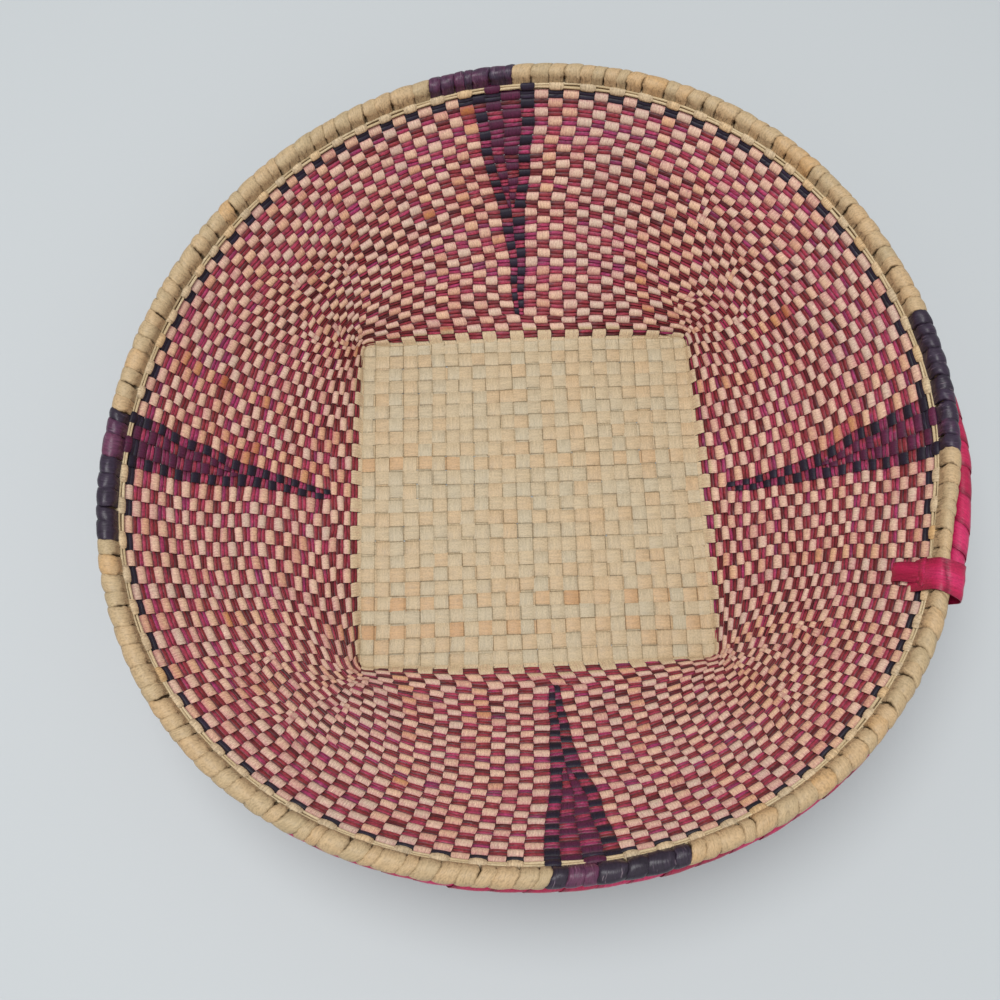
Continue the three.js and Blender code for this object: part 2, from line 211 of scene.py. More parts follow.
stakeKind = np.full(stakeCount, "side", dtype=object)
stakeStart = np.full(stakeCount, -1.0)
wedgeWiden = np.ones(stakeCount)  # how much wider a wedge's stakes grow towards the rim
for stake in range(stakeCount):
    quarter, place = divmod(stake, quarterStakes)
    mirrored = min(place, quarterStakes - 1 - place)
    wedge = wedges[(quarter + (place >= quarterStakes // 2)) % 4]
    wedgeWiden[stake] = wedge["widen"]
    if mirrored < weave["wedgeHalf"]:
        stakeKind[stake] = "plum" if mirrored == 0 else "dark"
        stakeStart[stake] = weave["plumRow"] if mirrored == 0 else wedge["tipRow"]
    elif mirrored >= weave["wedgeHalf"] + weave["sideHalf"]:
        pair = (place - weave["wedgeHalf"] - weave["sideHalf"]) // 2
        stakeKind[stake] = "corner"
        late = quarter == 2  # this corner's pairs begin a row later
        stakeStart[stake] = weave["pairRows"][(pair + quarter) % len(weave["pairRows"])] + late
isDyed = (stakeKind == "dark") | (stakeKind == "plum")

stakeWidths = {  # shares of a side stake's width, against the rows since a stake began
    "vary": 0.11,
    "corner": (0.35, 0.85, 5),
    "dark": [(0, 0.36), (3.6, 0.55), (6.7, 0.66), (9.8, 0.82), (12, 0.92)],
    "plum": [(-0.5, 0.18), (1.5, 0.42), (4, 0.70), (10, 0.96)],
    "besidePlum": 0.2,  # what a dark stake gives up to the plum one
    "widenFrom": 4,
}


def stakeWidth(level):
    age = level - stakeStart
    varied = 1 + stakeWidths["vary"] * stakeChance[:, 0] * smooth((level + 1) / 8)
    narrow, wide, rows = stakeWidths["corner"]
    corner = mix(narrow, wide, smooth(age / rows))
    dark = np.interp(age, *np.array(stakeWidths["dark"]).T)
    dark = dark * (1 - stakeWidths["besidePlum"] * smooth((level - weave["plumRow"] + 0.8) / 1.2))
    plum = np.interp(age, *np.array(stakeWidths["plum"]).T)
    width = np.select([stakeKind == "side", stakeKind == "corner", stakeKind == "dark"],
                      [1, corner, dark], plum)
    rowsUp = np.clip((level - stakeWidths["widenFrom"]) / (weave["topRow"] - stakeWidths["widenFrom"]), 0, 1)
    width = width * np.where(isDyed, 1 + (wedgeWiden - 1) * rowsUp, 1)
    started = smooth((age + 0.55) / 0.1) * varied
    return width * np.where(stakeKind == "side", varied, started)


def wedgeMiddle(side, level):
    wedge = wedges[side % 4]
    tip, top = wedge["tip"], wedge["top"]
    toTip = np.clip((level + 1) / (wedge["tipRow"] + 1), 0, 1)
    toTop = np.clip((level - wedge["tipRow"]) / (weave["topRow"] - wedge["tipRow"]), 0, 1)
    return mix(mix(90.0 * (side % 4), tip, toTip), top, toTop) + 360 * (side // 4)


# Where a quarter's stakes leave the base's edge; a wedge's stakes and the added pairs have no width there
strip = basket["baseHalf"] / weave["sideHalf"]
sideEdges = np.degrees(np.arctan2(strip * np.arange(weave["sideHalf"] + 1), basket["baseHalf"]))
baseEdges = np.concatenate([
    np.zeros(weave["wedgeHalf"]), sideEdges, np.full(2 * len(weave["pairRows"]) - 1, 45.0),
    90 - sideEdges[::-1], np.full(weave["wedgeHalf"], 90.0)])
walk = np.arange(-20.0, 400.0, 0.25)  # a little more than once round, to measure along


# Angles of the edges between stakes at one level
def stakeEdges(level):
    path = onWall(walk, level, 0.0)
    run = np.concatenate([[0], np.cumsum(np.linalg.norm(np.diff(path, axis=0), axis=1))])
    width = stakeWidth(level)
    edges = np.empty(stakeCount + 1)
    fromBase = smooth((level + 1) / 3)
    for quarter in range(4):
        start = np.interp(wedgeMiddle(quarter, level), walk, run)
        end = np.interp(wedgeMiddle(quarter + 1, level), walk, run)
        own = width[quarter * quarterStakes:(quarter + 1) * quarterStakes]
        shares = np.concatenate([[0], np.cumsum(own)]) / own.sum()
        angles = np.interp(mix(start, end, shares), run, walk)
        exact = baseEdges + 90 * quarter
        first = quarter * quarterStakes
        edges[first:first + quarterStakes + 1] = mix(exact, angles, fromBase)
    return edges


rowSteps = np.array([0, 0.25, 0.4, 0.5, 0.6, 0.75])  # closer together where a stake dives
levels = (np.arange(-1, weave["topRow"] + 2)[:, None] + rowSteps).ravel()
levels = np.append(levels, [weave["topRow"] + 2, weave["topRow"] + 2.33])
edgeTable = np.array([stakeEdges(level) for level in levels])
rowEdges = edgeTable[len(rowSteps)::len(rowSteps)]

# +1 where a stake passes inside a row, -1 where it passes outside. A new pair starts inside.
over = np.where(np.add.outer(np.arange(-1, rowCount), np.arange(stakeCount)) % 2 == 0, 1.0, -1.0)
for stake in range(stakeCount):
    if stakeKind[stake] == "corner":
        over[int(stakeStart[stake]) + 1, stake] = 1.0
print("weave laid out:", stakeCount, "stakes")


def bend(x, sharpness=0.7):  # from 0 to 1 as x does, flat at both ends
    wave = np.cos(np.pi * np.clip(x, 0, 1))
    return 0.5 - 0.5 * np.sign(wave) * np.abs(wave) ** sharpness


def stakeHeight(level, stakes):
    row = np.clip(np.floor(level).astype(int), -1, rowCount - 3)
    part = level - row
    low, high = over[row + 1][:, stakes], over[row + 2][:, stakes]
    low = np.where(row[:, None] < 0, 0.8, low)
    return low + (high - low) * bend(part)[:, None]


# Meshes

def dropFaces(piece, unwanted):
    bpy.ops.object.mode_set(mode="EDIT")
    bpy.ops.mesh.select_mode(type="FACE")
    bpy.ops.mesh.select_all(action="DESELECT")
    bpy.ops.object.mode_set(mode="OBJECT")
    piece.data.polygons.foreach_set("select", np.ascontiguousarray(unwanted).ravel())
    bpy.ops.object.mode_set(mode="EDIT")
    bpy.ops.mesh.delete(type="FACE")
    bpy.ops.object.mode_set(mode="OBJECT")


# A grid shaped into rows of points, with its uv map and a value at each point for the material.
# Strips side by side have an axis of their own in points: rows, strips, places across a strip.
# They are parted from each other, and each shows only where begun says so.
def newSheet(name, points, u, v, begun=True, **values):
    rows, columns = len(points), points[0].size // 3
    bpy.ops.mesh.primitive_grid_add(x_subdivisions=columns - 1, y_subdivisions=rows - 1, size=1)
    piece = bpy.context.object
    piece.name = piece.data.name = name
    mesh = piece.data
    mesh.vertices.foreach_set("co", points.astype(np.float32).ravel())
    for key, value in values.items():
        layer = mesh.attributes.new(key, "FLOAT", "POINT")
        layer.data.foreach_set("value", np.broadcast_to(value, points.shape[:-1]).astype(np.float32).ravel())
    corners = np.empty(len(mesh.loops), dtype=np.int32)
    mesh.loops.foreach_get("vertex_index", corners)
    uv = np.stack([np.broadcast_to(each, points.shape[:-1]) for each in (u, v)], -1)
    mesh.uv_layers[0].data.foreach_set("uv", uv.reshape(-1, 2)[corners].astype(np.float32).ravel())
    mesh.update()
    if points.ndim == 4:
        strips, across = points.shape[1:3]
        shown = np.repeat(np.broadcast_to(begun, (rows - 1, strips)), across, axis=1)[:, :-1]
        dropFaces(piece, ~shown | (np.arange(1, columns) % across == 0))
    return piece


# Angles of a tube round the basket, and turns round the tube itself
def tubeGrid(around, sides, start=0, end=360):
    angle = np.repeat(np.linspace(start, end, around)[:, None], sides, 1)
    return angle, np.arange(sides) / (sides - 1) * 2 * np.pi


def thicken(piece, thickness):
    modifier = piece.modifiers.new("thickness", "SOLIDIFY")
    modifier.thickness = thickness
    modifier.offset = 0
    bpy.ops.object.modifier_apply(modifier=modifier.name)


# Joins the two edges where a sheet bent into a tube or ring meets itself
def closeSeams():
    bpy.ops.object.mode_set(mode="EDIT")
    bpy.ops.mesh.select_all(action="SELECT")
    bpy.ops.mesh.remove_doubles(threshold=1e-6)
    bpy.ops.object.mode_set(mode="OBJECT")


def joinPieces(name, pieces):
    bpy.ops.object.select_all(action="DESELECT")
    for piece in pieces:
        piece.select_set(True)
    bpy.context.view_layer.objects.active = pieces[0]
    bpy.ops.object.join()
    piece = bpy.context.object
    piece.name = piece.data.name = name
    return piece


def finishPiece(piece, material, nodes, angle=50):
    bpy.ops.object.mode_set(mode="EDIT")
    bpy.ops.mesh.select_all(action="SELECT")
    bpy.ops.mesh.normals_make_consistent(inside=False)
    bpy.ops.object.mode_set(mode="OBJECT")
    bpy.ops.object.shade_smooth_by_angle(angle=np.radians(angle))
    piece.data.materials.clear()
    piece.data.materials.append(material)
    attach(piece, "root")
    if nodes:
        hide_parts(*nodes)
    piece.select_set(False)
    return piece


# Materials

def colour(text):
    values = [int(text[i:i + 2], 16) / 255 for i in (0, 2, 4)]
    return [v / 12.92 if v < 0.04045 else ((v + 0.055) / 1.055) ** 2.4 for v in values] + [1.0]


def newGroup(name, inputs, outputs):
    group = bpy.data.node_groups.new(name, "ShaderNodeTree")
    for label, kind, value in inputs:
        socket = group.interface.new_socket(label, in_out="INPUT", socket_type=kind)
        if value is not None:
            socket.default_value = value
    for label, kind in outputs:
        group.interface.new_socket(label, in_out="OUTPUT", socket_type=kind)
    return group, group.nodes.new("NodeGroupInput"), group.nodes.new("NodeGroupOutput")


def addNode(tree, kind, **settings):
    node = tree.nodes.new(kind)
    for key, value in settings.items():
        setattr(node, key, value)
    return node


def link(tree, source, target):
    tree.links.new(source, target)


def mathNode(tree, operation, first, second=None, clamp=False):
    node = addNode(tree, "ShaderNodeMath", operation=operation, use_clamp=clamp)
    for socket, value in zip(node.inputs, (first, second)):
        if isinstance(value, (int, float)):
            socket.default_value = value
        elif value is not None:
            link(tree, value, socket)
    return node.outputs[0]


def mixColour(tree, share, first, second, blend="MIX"):
    node = addNode(tree, "ShaderNodeMix", data_type="RGBA", blend_type=blend)
    for socket, value in ((node.inputs[0], share), (node.inputs[6], first), (node.inputs[7], second)):
        if isinstance(value, (int, float, list)):
            socket.default_value = value
        else:
            link(tree, value, socket)
    return node.outputs[2]


def mapRange(tree, source, low, high, start, end):
    node = addNode(tree, "ShaderNodeMapRange")
    for label, value in (("From Min", low), ("From Max", high), ("To Min", start), ("To Max", end)):
        node.inputs[label].default_value = value
    link(tree, source, node.inputs["Value"])
    return node.outputs[0]


# Noise drawn out along a strip: u is metres across it and v metres along it
def fibreGroup():
    group, given, result = newGroup(
        "palmFibre",
        [("Across", "NodeSocketFloat", 2600.0), ("Along", "NodeSocketFloat", 120.0)],
        [(label, "NodeSocketFloat") for label in ("Fibre", "Fleck", "Crease", "Fold")])
    noises = {  # how often a metre across and along, detail, roughness
        "Fibre": (given.outputs["Across"], given.outputs["Along"], 3.0, 0.6),
        "Fleck": (1500.0, 900.0, 2.0, 0.5),
        "Crease": (1000.0, 110.0, 1.0, 0.5),
        "Fold": (420.0, 95.0, 1.5, 0.5),
    }
    uv = addNode(group, "ShaderNodeUVMap", uv_map="UVMap")
    split = addNode(group, "ShaderNodeSeparateXYZ")
    link(group, uv.outputs[0], split.inputs[0])
    for label, (across, along, detail, roughness) in noises.items():
        drawn = addNode(group, "ShaderNodeCombineXYZ")
        for axis, often in enumerate((across, along)):
            link(group, mathNode(group, "MULTIPLY", split.outputs[axis], often), drawn.inputs[axis])
        noise = addNode(group, "ShaderNodeTexNoise")
        for setting, value in (("Scale", 1.0), ("Detail", detail), ("Roughness", roughness)):
            noise.inputs[setting].default_value = value
        link(group, drawn.outputs[0], noise.inputs["Vector"])
        level = noise.outputs[0]
        if label == "Fold":  # near 0 along thin lines
            level = mathNode(group, "ABSOLUTE", mathNode(group, "SUBTRACT", level, 0.5))
        link(group, level, result.inputs[label])
    return group


palmFibre = fibreGroup()
palmLook = {
    "noiseSpan": (0.3, 0.7),  # where nearly all of the noise lies
    "creaseSpan": (0.35, 0.65),
    "scratchSpan": (0.62, 0.70),
    "stainFleck": 0.22,
    "foldReach": 0.06,
    "foldSharpness": 30.0,
    "scratchColour": "c0aab0",
    "gloss": (-0.08, 0.10),  # added to the roughness at a hollow and at a ridge
    "bumpDepth": 0.0002,
}


# One strip's finish: a ramp of colours by its own tone, real stains and painted shade in its seams, folds
# and ends, fibres and flecks
def palmMaterial(name, ramp, stain, stainShare, streak, roughness, relief, across=2600.0,
                 crease=0.0, fleck=0.09, specular=0.35, foot=None, scratch=0.0, folds=0.0):
    material = bpy.data.materials.new(name)
    material.use_nodes = True
    tree = material.node_tree
    shader = tree.nodes["Principled BSDF"]
    tone = addNode(tree, "ShaderNodeAttribute", attribute_name="tone")
    stainShadeAttribute = addNode(tree, "ShaderNodeAttribute", attribute_name="stain")
    fibre = addNode(tree, "ShaderNodeGroup", node_tree=palmFibre)
    fibre.inputs["Across"].default_value = across
    colours = addNode(tree, "ShaderNodeValToRGB")
    while len(colours.color_ramp.elements) < len(ramp):
        colours.color_ramp.elements.new(0.5)
    for element, (position, text) in zip(colours.color_ramp.elements, ramp):
        element.position = position
        element.color = colour(text)
    link(tree, tone.outputs["Fac"], colours.inputs[0])
    span = palmLook["noiseSpan"]
    spots = mapRange(tree, fibre.outputs["Fleck"], *span, -palmLook["stainFleck"], palmLook["stainFleck"])
    bands = mapRange(tree, fibre.outputs["Crease"], *palmLook["creaseSpan"], -crease, crease)
    # The stain-and-shade value holds real stains and flecks in places, and painted shade at dives, seams,
    # pinches and folds in others
    stainAndShadeMix = mathNode(tree, "ADD", stainShadeAttribute.outputs["Fac"], spots)
    stainAndShadeMix = mathNode(tree, "ADD", stainAndShadeMix, bands, clamp=True)
    if folds:  # painted shade: thin dark lines in the folds where the strip is gathered
        crumple = addNode(tree, "ShaderNodeAttribute", attribute_name="crumple")
        reach = mathNode(tree, "MULTIPLY", crumple.outputs["Fac"], palmLook["foldReach"])
        line = mathNode(tree, "SUBTRACT", reach, fibre.outputs["Fold"])
        line = mathNode(tree, "MULTIPLY", line, palmLook["foldSharpness"], clamp=True)
        stainAndShadeMix = mathNode(tree, "ADD", stainAndShadeMix, mathNode(tree, "MULTIPLY", line, folds), clamp=True)
    stainAndShadeMix = mathNode(tree, "MULTIPLY", stainAndShadeMix, stainShare, clamp=True)
    ground = colours.outputs[0]
    if foot:  # where a stake is still a strip of the base
        bare = addNode(tree, "ShaderNodeAttribute", attribute_name="foot")
        ground = mixColour(tree, bare.outputs["Fac"], ground, colour(foot))
    if scratch:  # fibres whose dye has worn off
        lifted = mapRange(tree, fibre.outputs["Fibre"], *palmLook["scratchSpan"], 0.0, scratch)
        ground = mixColour(tree, lifted, ground, colour(palmLook["scratchColour"]))
    stained = mixColour(tree, stainAndShadeMix, ground, colour(stain))
    lines = mapRange(tree, fibre.outputs["Fibre"], *span, 1 - streak, 1 + 0.5 * streak)
    grain = mapRange(tree, fibre.outputs["Fleck"], *span, 1 + fleck, 1 - fleck)
    light = mathNode(tree, "MULTIPLY", lines, grain)
    shade = addNode(tree, "ShaderNodeCombineColor")
    for socket in shade.inputs[:3]:
        link(tree, light, socket)
    streaked = mixColour(tree, 1.0, stained, shade.outputs[0], "MULTIPLY")
    link(tree, streaked, shader.inputs["Base Color"])
    smoother, rougher = palmLook["gloss"]
    gloss = mapRange(tree, fibre.outputs["Fibre"], *span, roughness + smoother, roughness + rougher)
    link(tree, gloss, shader.inputs["Roughness"])
    folded = mathNode(tree, "MULTIPLY", fibre.outputs["Crease"], stainShadeAttribute.outputs["Fac"])
    folded = mathNode(tree, "MULTIPLY", folded, 1.0 + 6 * crease)
    raised = mathNode(tree, "SUBTRACT", fibre.outputs["Fibre"], folded)
    bump = addNode(tree, "ShaderNodeBump")
    bump.inputs["Strength"].default_value = relief
    bump.inputs["Distance"].default_value = palmLook["bumpDepth"]
    link(tree, raised, bump.inputs["Height"])
    link(tree, bump.outputs[0], shader.inputs["Normal"])
    shader.inputs["Specular IOR Level"].default_value = specular
    return material


finishes = {
    "naturalStake": {
        "ramp": [(0.0, "d0b7a2"), (0.3, "dcbba2"), (0.6, "dcb798"), (0.84, "daae84"), (0.95, "ca965a"),
                 (1.0, "ac6e32")],
        # This pink stain colour is dye bled from the wefts, and painted shade at the ends and edges of
        # blocks
        "stain": "a03a56", "stainShare": 0.66, "streak": 0.26, "roughness": 0.5, "relief": 0.7,
        "crease": 0.12, "fleck": 0.12, "foot": "c6b08c"},
    "baseStrip": {
        "ramp": [(0.0, "bbad90"), (0.35, "c1ad8b"), (0.65, "c3a781"), (0.88, "c29c72"), (1.0, "b28658")],
        # This stain colour darkens the base mostly as painted shade in the seams between cells
        "stain": "4e3a1e", "stainShare": 0.72, "streak": 0.18, "roughness": 0.5, "relief": 0.6,
        "across": 760.0, "fleck": 0.03},
    "magentaWeft": {
        "ramp": [(0.0, "5e1c22"), (0.25, "862a30"), (0.5, "9c3440"), (0.72, "b43c5a"), (0.88, "ac3468"),
                 (1.0, "76284c")],
        # This near-black red stain colour is painted shade where strands dive and between strands
        "stain": "220402", "stainShare": 0.90, "streak": 0.46, "roughness": 0.45, "relief": 1.0,
        "across": 1500.0},
    "darkWeft": {
        "ramp": [(0.0, "1c1520"), (0.5, "2a1f34"), (1.0, "3c2c46")],
        # This near-black stain colour is painted shade where strands dive and between strands
        "stain": "08060a", "stainShare": 0.7, "streak": 0.35, "roughness": 0.45, "relief": 0.8,
        "specular": 0.3},
    "dyedStake": {
        "ramp": [(0.0, "18121e"), (0.30, "251b2e"), (0.5, "301f36"), (0.55, "481a36"), (1.0, "662546")],
        # This near-black stain colour is painted shade at block ends and edges, and behind the rods
        "stain": "0b070e", "stainShare": 0.55, "streak": 0.45, "roughness": 0.42, "relief": 0.9,
        "specular": 0.25},
    "peeledRod": {
        "ramp": [(0.0, "b49e76"), (0.5, "cab48e"), (1.0, "d8c6a2")],
        "stain": "7c5e34", "stainShare": 0.5, "streak": 0.16, "roughness": 0.5, "relief": 0.5},
    "knotStrip": {
        "ramp": [(0.0, "c6b190"), (0.4, "d2ba96"), (0.7, "d4b58a"), (1.0, "c0904e")],
        # This dark brown stain colour is painted shade behind the rods and at the knots' edges
        "stain": "4a3218", "stainShare": 0.9, "streak": 0.20, "roughness": 0.52, "relief": 0.8,
        "across": 1400.0, "crease": 0.16, "fleck": 0.07},
    "naturalWrap": {
        "ramp": [(0.0, "aa9774"), (0.35, "b49d79"), (0.65, "bb9e77"), (0.88, "be9868"), (1.0, "b0824c")],
        # This dark brown stain colour is painted shade in the seams, at the pinch and in the folds
        "stain": "321c0a", "stainShare": 0.86, "streak": 0.16, "roughness": 0.52, "relief": 0.9,
        "across": 1100.0, "crease": 0.08, "fleck": 0.06, "folds": 0.62},
    "dyedWrap": {
        "ramp": [(0.0, "241c28"), (0.45, "36283c"), (0.6, "522a46"), (1.0, "763c56")],
        # This near-black stain colour is painted shade in the seams, at the pinch and in the folds
        "stain": "0c080e", "stainShare": 0.75, "streak": 0.38, "roughness": 0.36, "relief": 0.9,
        "across": 1300.0, "crease": 0.25, "scratch": 0.22, "folds": 0.6},
    "magentaWrap": {
        "ramp": [(0.0, "96143a"), (0.5, "b41c4c"), (1.0, "c62e64")],
        # This dark red stain colour is painted shade at the hoop's turn edges and in the strap's edges and
        # folds
        "stain": "52101e", "stainShare": 0.7, "streak": 0.24, "roughness": 0.40, "relief": 0.8,
        "across": 1300.0, "crease": 0.2, "scratch": 0.06},
    # Painted shade: the core is coloured dark brown so the gaps between wrap turns read as shadow; the
    # hoop's cane shares it
    "coreFibreShade": {
        "ramp": [(0.0, "3c2c18"), (1.0, "54401f")],
        "stain": "2c2010", "stainShare": 0.4, "streak": 0.3, "roughness": 0.8, "relief": 0.5},
}
palm = {name: palmMaterial(name, **finish) for name, finish in finishes.items()}
print("materials made")

# Base mat: strips both ways, one over and one under

base = {
    "middle": 0.00074, "rise": 0.00030, "thickness": 0.00032, "width": 0.992, "widthVary": (-0.03, 0.008),
    "across": [-0.5, -0.465, -0.2, 0.2, 0.465, 0.5],  # places across a strip
    "crown": 0.00010, "dome": 0.15, "dive": 0.06,  # dive: the share of a strip that one takes to go under
    "uneven": 0.09, "warp": 0.0008, "slip": 0.00016, "slipKnots": 11,
    "reach": 0.0015,  # how far it runs on past the fold, up the wall
    "blockTone": 0.32, "secondWayTone": 0.85, "seed": 5,
}


# How far along a strip the base's edge lies, at a place across the mat
def edgeAlong(side):
    corner = basket["baseCorner"]
    centre = basket["baseHalf"] - corner
    return centre + np.sqrt(corner**2 - np.clip(np.abs(side) - centre, 0, corner) ** 2)


def baseMat():
    count = 2 * weave["sideHalf"]
    half = basket["baseHalf"] + base["reach"]
    strip = 2 * half / count
    part = np.array(base["across"])
    number = np.arange(count)
    luck = np.random.default_rng(base["seed"])
    uneven = np.cumsum(luck.uniform(-base["uneven"], base["uneven"], (2, count)), axis=1) * strip
    uneven -= np.linspace(uneven[:, 0], uneven[:, -1], count).T
    sheets = []
    for way in range(2):
        own, other = uneven[way], uneven[1 - way]
        joints = (number[:-1] - count / 2 + 1) * strip + (other[1:] + other[:-1]) / 2
        bends = (joints[:, None] + strip * np.array([-base["dive"], 0, base["dive"]])).ravel()
        middles = (number - count / 2 + 0.5) * strip + other
        edge = half - base["reach"]
        along = np.sort(np.concatenate([bends, middles, [-half, -edge, edge, half]]))
        nearest = joints[np.argmin(np.abs(along[:, None] - joints[None, :]), axis=1)]
        depth = np.clip(np.abs(along - nearest) / (base["dive"] * strip), 0, 1)
        cell = np.clip(np.searchsorted(joints, along), 0, count - 1)
        sign = np.where((number[None, :] + cell[:, None] + way) % 2 == 0, 1.0, -1.0)
        inEdge = 1 - smooth((np.abs(along) - half + 0.3 * strip) / (0.3 * strip))
        dome = 1 - base["dome"] + base["dome"] * np.cos(np.pi * (along - middles[cell]) / strip)
        height = sign * (depth * dome * inEdge)[:, None]
        held = 1 - smooth((np.abs(along) / half - 0.8) / 0.2)[:, None]
        shift = base["warp"] * (np.sin(along[:, None] * 31 + number * 0.35 + 3 * way)
                                + 0.5 * np.sin(along[:, None] * 74 - number * 0.9 + way))
        knots = np.linspace(-half, half, base["slipKnots"])
        slip = luck.normal(0, base["slip"], (count, base["slipKnots"]))
        shift = shift + np.array([np.interp(along, knots, each) for each in slip]).T + own[None, :]
        centre = (number - count / 2 + 0.5)[None, :] * strip + shift * held
        widths = strip * (base["width"] + luck.uniform(*base["widthVary"], count))[None, :]
        side = centre[:, :, None] + widths[:, :, None] * part
        limit = edgeAlong(side) + base["reach"]
        ahead = np.clip(along[:, None, None], -limit, limit)
        x, y = (ahead, side) if way == 0 else (side, ahead)
        angle = np.degrees(np.arctan2(y, x))
        beyond = np.maximum(np.hypot(x, y) - baseRadius(angle, basket["baseCorner"]), 0)
        climb = beyond * np.tan(wallSlope(angle, 0.0))
        crown = -np.abs(2 * part) ** 10
        z = base["middle"] + climb + base["rise"] * height[:, :, None] + base["crown"] * crown
        block = luck.uniform(0, 1, (count, count))[cell]
        shade = luck.beta(1.6, 2.8, count)[None, :] * (base["secondWayTone"] if way else 1.0)
        tone = np.clip(shade + base["blockTone"] * (block - 0.5), 0, 0.94)[:, :, None]
        # Painted shade: a dark line where each strip dives under its neighbour and a thin one along its long
        # edges; the small per-cell share is the strip's own stain
        dive = (1 - depth)[:, None] * luck.uniform(0.3, 1, (count, count))[cell]
        rim = luck.uniform(0.1, 0.6, (count, count))[cell][:, :, None] * np.abs(2 * part) ** 12
        stain = np.clip(dive[:, :, None] + rim + 0.05 * block[:, :, None], 0, 1)
        piece = newSheet(f"baseMat{way}", np.stack([x, y, z], -1), side + 0.013 * number[:, None],
                         ahead + 0.37 * number[:, None] + 3 * way, tone=tone, stain=stain)
        thicken(piece, base["thickness"])
        sheets.append(piece)
    finishPiece(joinPieces("baseMat", sheets), palm["baseStrip"], ["base_mat"])


baseMat()
print("base mat plaited")

# Stakes of the walls and wedges, and their ends turned over the rods

stakeTone = np.clip(chance.beta(1.8, 3.2, stakeCount), 0, 0.7)
ripeStake = quarterStakes + weave["wedgeHalf"]  # turns orange near the rim
stakeTone[2 * quarterStakes - 4:2 * quarterStakes - 2] = 0.66  # two that are riper all the way up
stakeTone[stakeKind == "plum"] = 0.80
stakeTone[stakeKind == "dark"] = 0.24
blockChance = chance.uniform(0, 1, (rowCount + 2, stakeCount))
acrossVerts = 4

border = {
    "start": 29.5, "top": 31.33,  # levels where the turned ends begin and stop
    "knotRise": 0.0024, "knotCrown": 0.0006, "knotReach": 0.64, "tuck": 0.0002,
    "rodInward": 0.0013, "rodRadius": 0.00076, "rodDown": [0.0059, 0.0075], "rodSeed": 21,
    "behind": [0.0100, 0.0040],  # from here to here, down from the roll's middle
}
stakeLook = {
    "block": 0.42, "slow": 0.14,  # tone from place to place along a stake
    "endStainAndShade": 0.75, "blockStain": 0.42, "leastStain": 0.04, "edgeShade": 0.2, "footKeeps": 0.75,
    "ripe": 0.95, "ripeFrom": 22,
}


def stakeSheet(name, stakes, lowLevel, highLevel, material, slot, node, turned=False):
    stakes = np.array(stakes)
    chosen = np.where((levels >= lowLevel - 1e-6) & (levels <= highLevel + 1e-6))[0]
    level = levels[chosen]
    each = level[:, None]
    part = np.linspace(0, 1, acrossVerts)
    left, right = edgeTable[chosen][:, stakes], edgeTable[chosen][:, stakes + 1]
    height = stakeHeight(level, stakes)
    trim = 0.5 * (0.01 + weave["stakeTrim"] * (1 - np.abs(height)))
    isOver = over[weave["topRow"] + 2][stakes][None, :] > 0
    knot = np.where(isOver, 0.20 * smooth((np.abs(each - weave["topRow"] - 1.1) - 0.1) / 0.8), -0.02)
    trim = np.where(each > weave["topRow"] + 0.45, knot, trim)[:, :, None]
    angle = left[:, :, None] + (right - left)[:, :, None] * (trim + (1 - 2 * trim) * part)
    crown = 1 - (2 * part - 1) ** 2
    lift = weave["stakeRise"] * height
    cup = weave["stakeCup"] * np.sign(height) * np.sqrt(np.abs(height))
    near = smooth((border["knotReach"] - np.abs(each - weave["topRow"] - 1)) / 0.34)
    if turned:
        lift = np.where(isOver, border["knotRise"] * near, lift - border["tuck"] * near)
    inward = lift[:, :, None] + cup[:, :, None] * crown
    if turned:
        inward = inward + np.where(isOver, border["knotCrown"] * near, 0)[:, :, None] * (crown - 0.6)
    points = onWall(angle, np.broadcast_to(level[:, None, None], angle.shape), inward)

    row = np.clip(np.round(level).astype(int), -1, rowCount) + 1
    block = blockChance[row][:, stakes]
    # Dye bleed and painted shade: each block darkens and pinkens toward its ends, where it dives under the
    # rows, and toward its edges; the per-block share is the stake's own stain
    ends = (2 * np.abs(each - np.round(each))) ** 3
    rising = smooth((each + 0.9) / 0.8)
    stain = stakeLook["leastStain"] + stakeLook["blockStain"] * block ** 2 + stakeLook["endStainAndShade"] * ends
    stain = rising * stain
    # Painted shade on the turned ends: nearly full where they pass behind the rods, and growing toward a
    # knot's edges
    if turned:
        stain = np.where(isOver, 0.08 + 0.5 * (1 - near), 0.95)
    foot = 1 - smooth((each - 0.4 - 0.5 * np.maximum(stakeChance[stakes, 3], 0)) / 0.5)
    side = stakeLook["edgeShade"] * rising[:, :, None] * np.abs(2 * part - 1) ** 4
    stain = (stain[:, :, None] + side) * (1 - stakeLook["footKeeps"] * foot)[:, :, None]
    own = stakeTone[stakes]
    ripe = (stakes == ripeStake) & (each < border["start"] - 0.1)
    ripe = ripe * smooth((each - stakeLook["ripeFrom"]) / 5)
    own = own + (stakeLook["ripe"] - own) * ripe
    slow = np.sin(each * (0.25 + 0.2 * stakeChance[stakes, 3]) + 9 * stakeChance[stakes, 1])
    varied = stakeLook["block"] * (block - 0.5) + stakeLook["slow"] * slow
    tone = own + varied * np.where(stakeKind[stakes] == "side", 1, 0.5)
    tone = np.clip(mix(0.45 + 0.2 * (own - 0.5), tone, rising), 0, 1)
    width = np.linalg.norm(points[:, :, -1] - points[:, :, 0], axis=-1)
    u = (part - 0.5) * width[:, :, None] + 0.013 * stakes[:, None]
    v = level[:, None, None] * 0.0045 + 0.31 * stakeChance[stakes, 2][:, None]
    piece = newSheet(name, points, u, v, each[:-1] >= stakeStart[stakes] - 0.45, tone=tone[:, :, None],
                     stain=stain, foot=foot[:, :, None])
    thicken(piece, weave["stakeThickness"])
    finishPiece(piece, material, [node])


